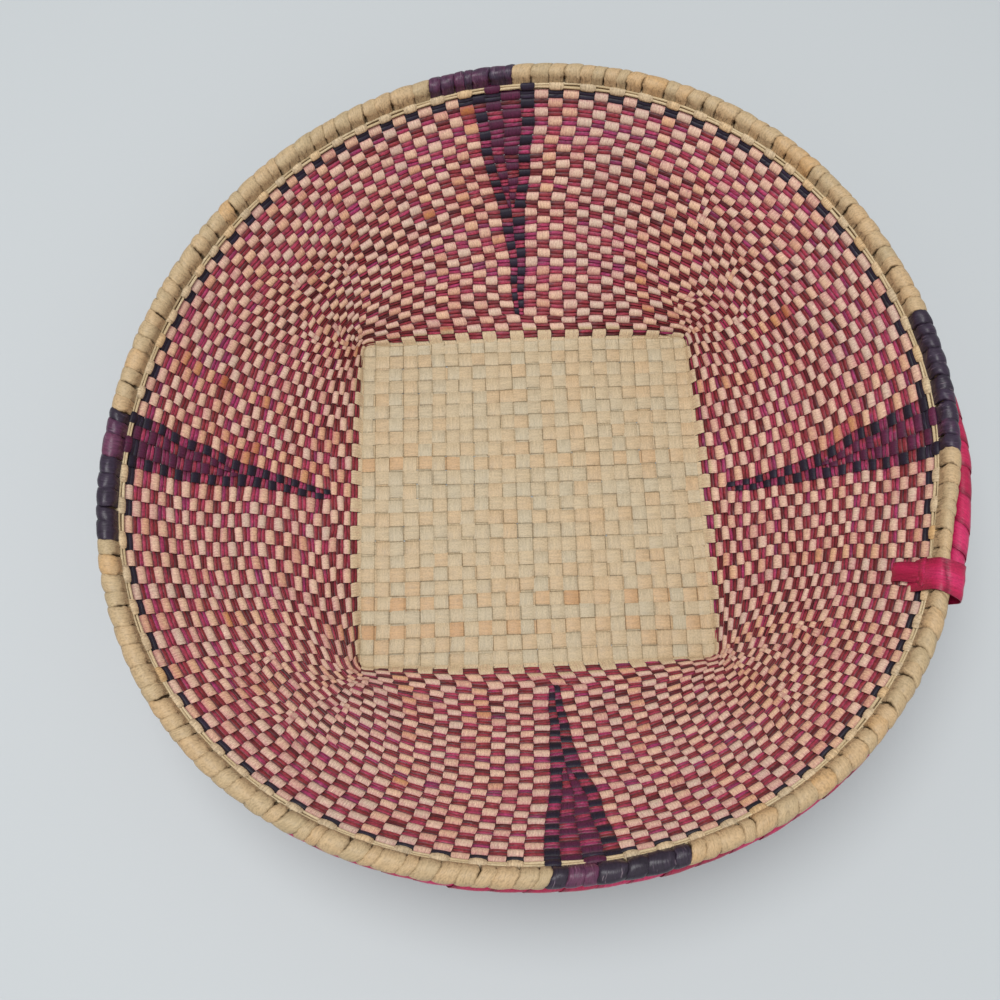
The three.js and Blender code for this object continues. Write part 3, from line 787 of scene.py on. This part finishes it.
for quarter in range(4):
    first, half = quarter * quarterStakes, weave["wedgeHalf"]
    here, there = wedges[quarter]["name"], wedges[(quarter + 1) % 4]["name"]
    natural = list(range(first + half, first + quarterStakes - half))
    dyed = [(first + k) % stakeCount for k in range(-half, half)]
    wall, ends = (-1, border["start"]), (border["start"], border["top"])
    stakeSheet(f"stakes_{here}_{there}", natural, *wall, palm["naturalStake"], "palm_stakes",
               f"wall_panel_{here}_{there}")
    stakeSheet(f"stakes_dyed_{here}", dyed, *wall, palm["dyedStake"], "purple_stakes", f"dyed_wedge_{here}")
    stakeSheet(f"turnedEnds_{here}_{there}", natural, *ends, palm["knotStrip"], "natural_wrap",
               f"turned_ends_{here}_{there}", turned=True)
    stakeSheet(f"turnedEnds_{here}", dyed, *ends, palm["dyedStake"], "purple_stakes",
               f"turned_ends_{here}", turned=True)


# The ends' own undersides: a flat layer behind the rods, up into the wrapping, darkened toward its stain
# colour as painted shade
def endsBehind():
    angle = np.linspace(0, 360, 721)[:, None]
    down = np.broadcast_to(np.linspace(*border["behind"], 5), (len(angle), 5))
    wave = 0.00012 * np.sin(np.radians(angle) * 150)
    piece = newSheet("endsBehind", nearRim(angle, down, -0.0005 + wave), np.radians(angle) * 0.2, down,
                     tone=0.5, stain=0.55)
    closeSeams()
    thicken(piece, 0.0003)
    finishPiece(piece, palm["knotStrip"], [])


endsBehind()
print("stakes woven")

# Weft rows: two strands side by side

weft = {
    "sides": 6, "perStake": 4, "half": 0.00119, "thick": 0.00050, "apart": 0.235, "pitch": 0.0045,
    "swell": 0.10, "atCorner": 0.8, "crowdedBelow": 20,  # strands are thinner at a corner below this row
    "lengths": 5, "tone": (0.48, 0.26), "ownTone": 0.13, "cornerTone": -0.25, "besideDyed": 0.25,
    "divingShade": 0.50, "edgeShade": 0.85, "seed": 3, "topSeed": 40,
    "groups": [(0, 10), (10, 20), (20, 29)],
}


def weftStrand(name, row, side, luck):
    position = np.arange(stakeCount * weft["perStake"] + 1) / weft["perStake"]
    stake = np.minimum(position.astype(int), stakeCount)
    edges = rowEdges[row]
    angle = np.interp(position, np.arange(stakeCount + 1), edges)
    before = np.floor(position - 0.5).astype(int)
    inside = -over[row + 1] * np.clip(np.diff(edges) / 1.2, 0, 1)
    low, high = inside[before % stakeCount], inside[(before + 1) % stakeCount]
    height = low + (high - low) * bend(position - 0.5 - before)
    turn = np.arange(weft["sides"] + 1) / weft["sides"] * 2 * np.pi
    half = weft["half"] * (1 + weft["swell"] * np.sin(angle * 0.9 + row * 2.1 + side) * luck.uniform(0.3, 1))
    offset = (side - 0.5) * 2 * weft["apart"] + 0.02 * np.sin(angle * 0.31 + row)
    squeeze = mix(1.0, weft["atCorner"], cornerness(angle)) if row < weft["crowdedBelow"] else 1.0
    level = row + offset[:, None] + (half * squeeze / weft["pitch"])[:, None] * np.cos(turn)
    flat = 1 + 0.25 * np.abs(height)
    inward = weave["weftRise"] * height[:, None] + weft["thick"] * np.sin(turn) * flat[:, None]
    points = onWall(np.broadcast_to(angle[:, None], level.shape), level, inward)
    joints = np.sort(luck.uniform(0, 360, weft["lengths"] - 1))
    tones = np.clip(luck.normal(*weft["tone"], weft["lengths"]), 0, 1)
    tone = tones[np.searchsorted(joints, np.mod(angle, 360))]
    tone = tone + 0.10 * np.sin(angle * 0.23 + luck.uniform(0, 6))
    tone = tone + weft["cornerTone"] * cornerness(angle) * (1 - row / weave["topRow"])
    tone = tone + weft["ownTone"] * luck.uniform(-1, 1, stakeCount + 1)[stake]
    beside = isDyed[stake % stakeCount]
    tone = np.clip(tone + weft["besideDyed"] * beside, 0, 0.95)
    # Painted shade: darker where a strand dives under a stake and along its edges, as a dark line between
    # the two strands; a little darker again beside a dyed wedge
    stain = (0.06 + weft["divingShade"] * (1 - np.abs(height)))[:, None]
    stain = stain + weft["edgeShade"] * np.abs(np.cos(turn)) ** 4 + 0.08 * beside[:, None]
    u = np.arange(len(turn)) * 0.0007 + row * 0.011 + side * 0.0047
    return newSheet(name, points, u, (np.radians(angle) * 0.17)[:, None], tone=tone[:, None], stain=stain)


def weftRows(name, rows, material, nodes, seed):
    luck = np.random.default_rng(seed)
    piece = joinPieces(name, [weftStrand(f"strand{row}_{side}", row, side, luck)
                              for row in rows for side in range(2)])
    closeSeams()
    finishPiece(piece, material, nodes, angle=40)


for index, (low, high) in enumerate(weft["groups"]):
    weftRows(f"weftRows{index + 1}", range(low, high), palm["magentaWeft"], [],
             weft["seed"] + index)
weftRows("topWeft", [weave["topRow"]], palm["darkWeft"], ["top_weft"], weft["topSeed"])
print("wefts woven")

# Border rods: two thin peeled canes, side by side under the knots

def rodPieces():
    luck = np.random.default_rng(border["rodSeed"])
    for name, down, node in zip(["rodUpper", "rodLower"], border["rodDown"],
                                ["border_rod_upper", "border_rod_lower"]):
        angle, turn = tubeGrid(481, 7)
        phase = luck.uniform(0, 6.28, 6)
        run = np.radians(angle)
        slip = 0.00016 * (np.sin(9 * run + phase[0]) + np.sin(23 * run + phase[1]))
        nod = 0.00008 * (np.sin(14 * run + phase[2]) + np.sin(37 * run + phase[3]))
        girth = 1 + 0.07 * np.sin(31 * run + phase[4]) + 0.05 * np.sin(53 * run + phase[5])
        girth = border["rodRadius"] * girth
        points = nearRim(angle, down + slip + girth * np.cos(turn),
                         border["rodInward"] + nod + girth * np.sin(turn))
        tone = np.clip(0.5 + 0.35 * np.sin(5 * run + phase[1]) * np.sin(17 * run + phase[2]), 0, 1)
        piece = newSheet(name, points, np.arange(len(turn)) * 0.0009 + down, run * 0.2, tone=tone,
                         stain=0.3 * tone)
        closeSeams()
        finishPiece(piece, palm["peeledRod"], [node], angle=80)


rodPieces()
print("rods laid")

# Rim wrapping: loops of wide strip over the core, pinched where they pass through the wall's edge

wrap = {
    "radius": 0.0040, "core": 0.0031, "pinch": 0.0054, "pinchInner": 0.0016, "pinchOuter": 0.0007,
    "around": 34, "across": [0, 0.05, 0.12, 0.22, 0.35, 0.5, 0.65, 0.78, 0.88, 0.95, 1.0],
    "pitch": 0.0084, "vary": 0.38, "overlap": 0.10, "lean": 0.0030, "wander": 0.0005,
    "puff": 0.00105, "pleat": 0.00030, "facet": 0.00012, "gathered": 0.84, "thickness": 0.00028,
    "seamShade": 0.85, "gatheredShade": 0.15, "seed": 33,
    "pressed": 0.9,  # how far inward, in radii, the roll's middle is where it is pressed quite flat
    "squeeze": {"share": 0.40, "at": -21.5, "after": 10.5, "before": 4},
    "wedgeTop": 0.034,
    "dyed": {
        "east": {"lag": 0.0018, "overrun": 0.0417,
                 "tones": [0.40, 0.52, 0.34, 0.46, 0.2, 0.3, 0.38, 0.3, 0.34, 0.2]},
        "north": {"lag": 0.0085, "overrun": 0.0220, "tones": [0.45, 0.5, 0.56, 0.5, 0.6, 0.58, 0.55]},
        "west": {"lag": 0.0053, "overrun": 0.0362, "tones": [0.2, 0.62, 0.7, 0.34, 0.30, 0.26, 0.24, 0.2]},
        "south": {"lag": 0.0011, "overrun": 0.0275, "tones": [0.16, 0.66, 0.74, 0.14, 0.10, 0.12, 0.14]},
    },
}


def rollGirth(angle):  # the roll is pressed thin beside the strap
    squeeze = wrap["squeeze"]
    offset = turnFrom(angle, squeeze["at"])
    spread = np.where(offset > 0, squeeze["after"], squeeze["before"])
    return 1 - squeeze["share"] * np.exp(-(offset / spread) ** 2)


def rimDegrees(length, angle):  # a length along the rim's middle line
    return np.degrees(length / rimRadius(angle))


# A turn's course round the roll: down the wall, inward, which way it faces, and how far from the pinch
def teardrop():
    radius, pinch = wrap["radius"], wrap["pinch"]
    lean = np.arccos(radius / pinch)
    turn = np.linspace(lean + 0.2, 2 * np.pi - lean, wrap["around"] - 6)
    normal = np.concatenate([np.full(3, lean + 0.2), turn, np.full(3, 2 * np.pi - lean)])
    reach = np.concatenate([[0.0, 0.34, 0.7], np.ones(len(turn)), [0.7, 0.34, 0.0]])
    half = np.where(normal < np.pi, wrap["pinchInner"], -wrap["pinchOuter"])
    down = mix(pinch, radius * np.cos(normal), reach)
    return down, mix(half, radius * np.sin(normal), reach), normal, reach


def wrapRun(name, start, end, tones, material, node, luck):
    count = len(tones)
    share = 1 + luck.uniform(-wrap["vary"], wrap["vary"], count)
    edges = start + (end - start) * np.concatenate([[0], np.cumsum(share)]) / share.sum()
    down, inward, normal, reach = [each[:, None, None] for each in teardrop()]
    run = np.concatenate([[0], np.cumsum(np.hypot(np.diff(down.ravel()), np.diff(inward.ravel())))])
    part = np.array(wrap["across"])
    gather = np.clip((np.cos(normal) + 0.15) / 0.9, 0, 1)  # strongest on the side of the pinch
    width = np.diff(edges)[:, None]
    middle = (edges[:-1] + edges[1:])[:, None] / 2
    narrowed = 1 - (1 - wrap["gathered"]) * gather ** 1.5
    along = middle + width * (part - 0.5) * (1 + wrap["overlap"]) * narrowed
    phase = luck.uniform(0, 6.28, (6, count))[:, None, :, None]
    jag = np.abs(np.mod(1.1 * normal + phase[3], 2) - 1)
    jag = jag + 0.5 * np.abs(np.mod(2.7 * normal + phase[4], 2) - 1)
    lean = wrap["lean"] * (1 + 0.6 * luck.uniform(-1, 1, count))[:, None] * np.sin(normal) * 0.5
    along = along + rimDegrees(lean + wrap["wander"] * (jag - 0.75), start)
    puffed = (1 - np.abs(2 * part ** 0.85 - 1) ** 2.6) ** 0.6  # each turn swells between its seams
    size = wrap["puff"] * (1 + 0.35 * luck.uniform(-1, 1, count))[:, None]
    folds = luck.uniform(1.2, 3.0, count)[:, None]
    ridges = 1 - 2 * np.abs(np.sin(np.pi * folds * part + phase[0] + 0.8 * np.sin(normal + phase[5])))
    deep = np.clip((np.cos(normal - 0.5) - 0.1) / 0.9, 0, 1)  # where the folds are deepest
    facets = np.sin(2.2 * normal + 4 * part + phase[1]) + 0.6 * np.sin(5.3 * normal - 7 * part + phase[2])
    lift = size * (puffed - 0.6) + wrap["pleat"] * ridges * (0.12 + 1.4 * deep ** 1.5)
    lift = (lift + wrap["facet"] * facets) * np.clip(reach * 1.1, 0, 1)
    girth = rollGirth(along)
    points = nearRim(along, (down + lift * np.cos(normal)) * np.where(down < 0, girth, 1),
                     mix(wrap["pressed"] * wrap["radius"], inward + lift * np.sin(normal), girth))
    u = (part - 0.5) * 0.0088 + 0.017 * np.arange(count)[:, None]
    v = run[:, None, None] + 0.41 * luck.uniform(0, 1, count)[:, None]
    tone = np.array(tones)[:, None] + 0.07 * np.sin(1.7 * normal + phase[1]) + 0.04 * facets
    # Painted shade: dark seams between turns, darker toward the pinch, and crumple sets how far dark fold
    # lines are painted where the turns are gathered
    stain = 0.02 + wrap["seamShade"] * smooth((np.abs(2 * part - 1) - 0.84) / 0.16)
    stain = stain + wrap["gatheredShade"] * gather ** 4
    crumple = (0.14 + 0.5 * deep ** 1.2) * (0.6 + 0.4 * np.abs(np.sin(phase[3])))
    piece = newSheet(name, points, u, v, tone=np.clip(tone, 0, 1), stain=np.clip(stain, 0, 1),
                     crumple=crumple)
    thicken(piece, wrap["thickness"])
    finishPiece(piece, material, [node], angle=60)


def wrapEnds(side):
    wedge = wedges[side % 4]
    top = wedge["top"] + 360 * (side // 4)
    dyed = wrap["dyed"][wedge["name"]]
    half = wrap["wedgeTop"] / 2
    return top + rimDegrees(dyed["lag"] - half, top), top + rimDegrees(dyed["overrun"] + half, top)


wrapChance = np.random.default_rng(wrap["seed"])
for side, wedge in enumerate(wedges):
    name, nextName = wedge["name"], wedges[(side + 1) % 4]["name"]
    begin, end = wrapEnds(side)
    nextBegin = wrapEnds(side + 1)[0]
    wrapRun(f"rimWrap_{name}", begin, end, wrap["dyed"][name]["tones"], palm["dyedWrap"],
            f"dyed_wrap_{name}", wrapChance)
    length = np.radians(nextBegin - end) * rimRadius((nextBegin + end) / 2)
    turns = int(round(length / wrap["pitch"]))
    tones = 0.22 + 0.62 * wrapChance.beta(1.8, 2.4, turns)
    wrapRun(f"rimWrap_{name}_{nextName}", end, nextBegin, tones, palm["naturalWrap"],
            f"rim_wrap_{name}_{nextName}", wrapChance)


# The bundle inside the wrapping, seen only between its turns; its colour is a dark brown painted shade for
# those gaps
def rimCore():
    angle, turn = tubeGrid(361, 13)
    girth = wrap["core"] * (1 + 0.03 * np.sin(3 * turn + np.radians(angle) * 40))
    thin = rollGirth(angle)
    inward = mix(wrap["pressed"] * wrap["radius"], girth * np.sin(turn), thin)
    piece = newSheet("rimCore", nearRim(angle, thin * girth * np.cos(turn), inward),
                     turn * wrap["core"], np.radians(angle) * 0.2, tone=0.5, stain=0.5)
    closeSeams()
    finishPiece(piece, palm["coreFibreShade"], ["rim_core"], angle=80)


rimCore()
print("rim wrapped")

# Outer hoop with its wrapping, and the strap that ties hoop, roll and rods

hoop = {  # course: degrees from its first end, which lies highest, then outward and height from the roll
    "course": [(0, 0.0049, -0.0010), (2.5, 0.0051, -0.0012), (6.5, 0.0062, -0.0022), (12, 0.0070, -0.0042),
               (18, 0.0069, -0.0056), (24, 0.0051, -0.0072), (30, 0.0034, -0.0081), (38, 0.0022, -0.0085)],
    "tuckReach": -0.0014, "tuckAt": 208, "tuckSpread": 48,
    "radius": 0.0040, "cane": 0.0030, "gap": 1.2,  # gap: degrees between its two ends
    "pitch": 0.0150, "samples": 14, "across": 7, "shingle": 0.00045, "vary": 0.00025, "puff": 0.00025,
    "crease": 0.00006, "thickness": 0.0003, "seed": 8,
}
strap = {
    "angle": -24.1, "thickness": 0.0004, "steps": 110, "across": 11, "roll": 0.0057, "ring": 0.0047,
    "widths": [(0.0, 0.0104), (0.0165, 0.0110), (0.0190, 0.0140), (0.0240, 0.0158), (0.0450, 0.0162)],
    "drift": [(0.006, 0.0031), (0.022, 0.0018), (0.036, 0.0006)],  # sideways, along its length
    "inside": [(0.0280, 0.0004), (0.0270, 0.0014), (0.0240, 0.0018), (0.0160, 0.0019), (0.0125, 0.0022),
               (0.0100, 0.0031), (0.0080, 0.0039), (0.0064, 0.0041)],  # down and inward, from its inner end
    "over": (0.0049, 0.0044), "finish": (0.0230, -0.0015),  # onto the roll, and its end behind the wall
    "crown": 0.0002, "folds": [0.0168, 0.0218], "foldDepth": 0.0004, "valleyDepth": 1.5,
}


def hoopPoint(angle, out, up):
    along, outward, height = np.array(hoop["course"]).T
    fromEnd = np.mod(angle - strap["angle"], 360)
    tucked = hoop["tuckReach"] * np.exp(-(turnFrom(angle, hoop["tuckAt"]) / hoop["tuckSpread"]) ** 4)
    return upright(angle, rimRadius(angle) + np.interp(fromEnd, along, outward) + tucked + out,
                   basket["rollHeight"] + np.interp(fromEnd, along, height) + up)


def hoopCane():
    angle, turn = tubeGrid(361, 11, strap["angle"] + 0.8, strap["angle"] + 359.2)
    girth = hoop["cane"] * np.where((angle == angle[0, 0]) | (angle == angle[-1, 0]), 0.01, 1.0)
    piece = newSheet("hoopCane", hoopPoint(angle, girth * np.cos(turn), girth * np.sin(turn)),
                     turn * hoop["cane"], np.radians(angle) * 0.2, tone=0.5, stain=0.5)
    closeSeams()
    finishPiece(piece, palm["coreFibreShade"], ["outer_hoop_cane"], angle=80)


def hoopWrap():
    luck = np.random.default_rng(hoop["seed"])
    turns = int(2 * np.pi * basket["rimRadius"] / hoop["pitch"])
    knots = np.arange(turns + 2)
    winding = np.arange(turns * hoop["samples"] + 1)[:, None] / hoop["samples"]
    part = np.linspace(0, 1, hoop["across"])
    slip = np.interp(winding, knots, 0.12 * luck.uniform(-1, 1, turns + 2))
    start, degreesEach = strap["angle"] + hoop["gap"] / 2, (360 - hoop["gap"]) / (turns + 0.2)
    angle = start + degreesEach * (winding + slip + 1.15 * (part - 0.5) + 0.1)
    angle = np.clip(angle, strap["angle"] + 0.3, strap["angle"] + 359.7)
    around = 2 * np.pi * winding
    girth = np.interp(winding, knots, luck.uniform(-1, 1, turns + 2))
    crease = hoop["crease"] * np.sin(5 * around / 2 + 7 * part + 9 * girth)
    radius = hoop["radius"] - 0.00035 + hoop["shingle"] * (1 - part) + hoop["vary"] * girth + crease
    radius = radius + hoop["puff"] * np.sin(np.pi * part)
    points = hoopPoint(angle, radius * np.cos(around), radius * np.sin(around))
    tone = np.interp(winding, knots, luck.uniform(0.1, 1, turns + 2))
    # Painted shade: each turn darkens toward its edges, where it meets the next
    piece = newSheet("hoopWrap", points, (part - 0.5) * 0.016, winding * 0.025, tone=tone,
                     stain=np.abs(2 * part - 1) ** 4)
    thicken(piece, hoop["thickness"])
    finishPiece(piece, palm["magentaWrap"], ["outer_hoop_wrap"], angle=60)


# The strap's course at one place across it, in its own plane: down the wall from the roll's middle, and
# inward. It is drawn tight round the roll and both ends of the hoop.
def strapCourse(angle):
    slope = float(wallSlope(angle, 1.0))
    girth = float(rollGirth(angle))
    turn = np.radians(np.arange(0, 360, 6))
    ring = np.stack([np.cos(turn), np.sin(turn)], -1)
    cloud = [ring * strap["roll"] * girth + [0, wrap["pressed"] * wrap["radius"] * (1 - girth)]]
    for end in (0.1, 359.0):
        place = hoopPoint(strap["angle"] + end, 0, 0)
        out = np.hypot(place[0], place[1]) - float(rimRadius(strap["angle"] + end))
        fall = place[2] - basket["rollHeight"]
        cloud.append(ring * strap["ring"] + [-out * np.cos(slope) - fall * np.sin(slope),
                                             -out * np.sin(slope) + fall * np.cos(slope)])
    spots = np.concatenate(cloud + [[strap["over"], strap["finish"]]])
    toward = np.radians(np.arange(52, 306, 2))[:, None]
    outermost = np.argmax(np.cos(toward) * spots[:, 0] + np.sin(toward) * spots[:, 1], axis=1)
    outermost = outermost[np.concatenate([[True], np.diff(outermost) != 0])]
    onRoll = len(strap["inside"]) + np.sum(outermost < len(ring))
    return np.concatenate([strap["inside"], spots[outermost]]), onRoll


def strapPiece():
    steps, across = strap["steps"], strap["across"]
    widest = strap["widths"][-1][1]
    part = np.linspace(-0.5, 0.5, across)
    share = np.linspace(0, 1, steps)
    flat = np.empty((steps, across, 2))
    valley = np.empty(across)
    for column in range(across):
        course, onRoll = strapCourse(strap["angle"] + rimDegrees(part[column] * widest, strap["angle"]))
        run = np.concatenate([[0], np.cumsum(np.linalg.norm(np.diff(course, axis=0), axis=1))])
        valley[column] = (run[onRoll - 1] + run[onRoll]) / 2
        for k in (0, 1):
            flat[:, column, k] = np.interp(share * run[-1], run, course[:, k])
    place = (share * run[-1])[:, None]
    share = share[:, None]
    for _ in range(3):
        flat[1:-1] = (flat[:-2] + 2 * flat[1:-1] + flat[2:]) / 4
    along = np.gradient(flat, axis=0)
    along /= np.linalg.norm(along, axis=-1)[:, :, None]
    nearFold = sum(np.exp(-((place - fold) / 0.0006) ** 2) for fold in strap["folds"])
    nearFold = nearFold + strap["valleyDepth"] * np.exp(-((place - valley) / 0.0014) ** 2)
    crease = 0.00014 * np.sin(2 * np.pi * 2.2 * part + 9 * share) + 0.00010 * np.sin(40 * share + 4 * part)
    lift = strap["crown"] * (1 - (2 * part) ** 2) + crease - strap["foldDepth"] * nearFold
    u = part * np.interp(place, *np.array(strap["widths"]).T)
    drift = np.interp(place, *np.array(strap["drift"]).T)
    points = nearRim(strap["angle"] + rimDegrees(u + drift, strap["angle"]),
                     flat[:, :, 0] + along[:, :, 1] * lift, flat[:, :, 1] - along[:, :, 0] * lift)
    tone = 0.55 + 0.25 * np.sin(7 * part + 3 * share) - 0.35 * smooth((0.022 - place) / 0.012)
    # Painted shade: darker toward the strap's edges, at its folds and in the valley between roll and hoop
    stain = np.clip(0.7 * np.abs(2 * part) ** 6 + 0.6 * nearFold, 0, 0.9)
    piece = newSheet("strap", points, u, place, tone=np.clip(tone, 0, 1), stain=stain, crumple=0.25)
    thicken(piece, strap["thickness"])
    finishPiece(piece, palm["magentaWrap"], ["lashing_strap"], angle=60)


hoopCane()
hoopWrap()
strapPiece()
print("hoop wrapped and tied")

# Camera, floor and light

view = {
    "place": Vector((-0.02309, -0.18433, 0.5545)),
    "forward": Vector((0.00858, 0.31109, -0.95034)),
    "right": Vector((0.99962, -0.02757, 0.0)),
    "roll": -0.2614,
    "lens": 36.0,
    "sensor": 36.0,
}
studio = {
    "lamps": [("keyLamp", (-0.25, 0.05, 1.75), 1.0, 21), ("fillLamp", (0.3, -1.4, 1.2), 1.8, 5)],
    "world": (0.97, 0.98, 1.0, 1.0),
    "worldStrength": 0.58,
    "floor": "bbc0c2",
    "floorRoughness": 0.6,
}


def addCamera():
    forward = view["forward"].normalized()
    right = view["right"].normalized()
    up = right.cross(forward)
    roll = np.radians(view["roll"])
    turnedRight = right * np.cos(roll) + up * np.sin(roll)
    turnedUp = -right * np.sin(roll) + up * np.cos(roll)
    bpy.ops.object.camera_add(location=view["place"])
    camera = bpy.context.object
    matrix = Matrix((turnedRight, turnedUp, -forward)).transposed().to_4x4()
    matrix.translation = view["place"]
    camera.matrix_world = matrix
    camera.data.lens = view["lens"]
    camera.data.sensor_width = view["sensor"]
    camera.data.clip_start = 0.01
    scene.camera = camera


def addLamp(name, place, size, power):
    bpy.ops.object.light_add(type="AREA", location=place)
    lamp = bpy.context.object
    lamp.name = name
    lamp.data.shape = "DISK"
    lamp.data.size = size
    lamp.data.energy = power
    lamp.rotation_euler = (-Vector(place)).to_track_quat("-Z", "Y").to_euler()


def addFloor():
    bpy.ops.mesh.primitive_plane_add(size=8, location=(0, 0, 0))
    floor = bpy.context.object
    floor.name = "floor"
    material = bpy.data.materials.new("paleFloor")
    material.use_nodes = True
    shader = material.node_tree.nodes["Principled BSDF"]
    shader.inputs["Base Color"].default_value = colour(studio["floor"])
    shader.inputs["Roughness"].default_value = studio["floorRoughness"]
    floor.data.materials.append(material)


addCamera()
addFloor()
for lamp in studio["lamps"]:
    addLamp(*lamp)
scene.world = bpy.data.worlds.new("studio")
scene.world.use_nodes = True
background = scene.world.node_tree.nodes["Background"]
background.inputs["Color"].default_value = studio["world"]
background.inputs["Strength"].default_value = studio["worldStrength"]
scene.view_settings.view_transform = "Standard"

print("scene ready")
